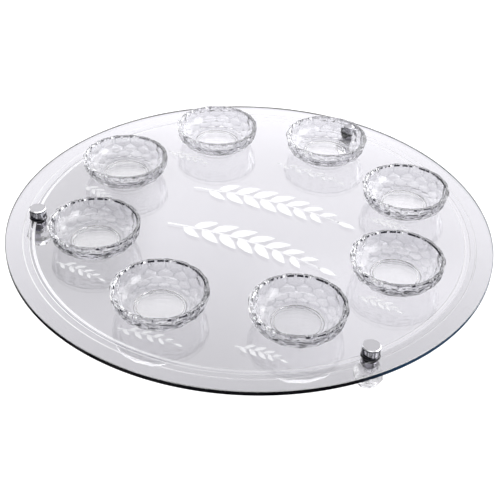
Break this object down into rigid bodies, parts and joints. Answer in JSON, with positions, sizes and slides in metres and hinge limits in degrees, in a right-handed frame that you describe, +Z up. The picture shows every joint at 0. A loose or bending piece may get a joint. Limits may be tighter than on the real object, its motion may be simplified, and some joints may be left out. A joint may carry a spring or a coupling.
{
  "type": "rosh hashanah plate",
  "caption": "Round clear glass serving plate on three chrome standoffs with crystal feet, carrying a ring of loose faceted glass bowls.",
  "frame": {"origin": "on the table top, under the centre of the plate", "axes": "+Z up, the viewer in the picture stands on the -Y side, +X to that viewer's right"},
  "size_m": [0.4, 0.4, 0.0457],
  "materials": {
    "plate_glass": "clear polished flat glass, faintly cool grey",
    "bowl_glass": "clear pressed glass, fire polished",
    "crystal": "cut and polished clear crystal",
    "chrome": "turned and chrome plated, mirror bright",
    "stud_steel": "plain bright steel rod",
    "washer_rubber": "smooth black rubber"
  },
  "bodies": {
    "stand": {"glass_plate": "plate_glass", "front_right_crystal_foot": "crystal", "front_right_collar": "chrome", "front_right_lower_washer": "washer_rubber", "front_right_upper_washer": "washer_rubber", "front_right_stud": "stud_steel", "front_right_cap": "chrome", "back_right_crystal_foot": "crystal", "back_right_collar": "chrome", "back_right_lower_washer": "washer_rubber", "back_right_upper_washer": "washer_rubber", "back_right_stud": "stud_steel", "back_right_cap": "chrome", "left_crystal_foot": "crystal", "left_collar": "chrome", "left_lower_washer": "washer_rubber", "left_upper_washer": "washer_rubber", "left_stud": "stud_steel", "left_cap": "chrome"},
    "loose_bowl_1": {"bowl_1": "bowl_glass"},
    "loose_bowl_2": {"bowl_2": "bowl_glass"},
    "loose_bowl_3": {"bowl_3": "bowl_glass"},
    "loose_bowl_4": {"bowl_4": "bowl_glass"},
    "loose_bowl_5": {"bowl_5": "bowl_glass"},
    "loose_bowl_6": {"bowl_6": "bowl_glass"},
    "loose_bowl_7": {"bowl_7": "bowl_glass"},
    "loose_bowl_8": {"bowl_8": "bowl_glass"}
  },
  "joints": [
    {"name": "bowl_1_lift", "type": "slide", "parent": "stand", "child": "loose_bowl_1", "axis": [0, 0, 1], "range_m": [0, 0.06]},
    {"name": "bowl_2_lift", "type": "slide", "parent": "stand", "child": "loose_bowl_2", "axis": [0, 0, 1], "range_m": [0, 0.06]},
    {"name": "bowl_3_lift", "type": "slide", "parent": "stand", "child": "loose_bowl_3", "axis": [0, 0, 1], "range_m": [0, 0.06]},
    {"name": "bowl_4_lift", "type": "slide", "parent": "stand", "child": "loose_bowl_4", "axis": [0, 0, 1], "range_m": [0, 0.06]},
    {"name": "bowl_5_lift", "type": "slide", "parent": "stand", "child": "loose_bowl_5", "axis": [0, 0, 1], "range_m": [0, 0.06]},
    {"name": "bowl_6_lift", "type": "slide", "parent": "stand", "child": "loose_bowl_6", "axis": [0, 0, 1], "range_m": [0, 0.06]},
    {"name": "bowl_7_lift", "type": "slide", "parent": "stand", "child": "loose_bowl_7", "axis": [0, 0, 1], "range_m": [0, 0.06]},
    {"name": "bowl_8_lift", "type": "slide", "parent": "stand", "child": "loose_bowl_8", "axis": [0, 0, 1], "range_m": [0, 0.06]}
  ]
}
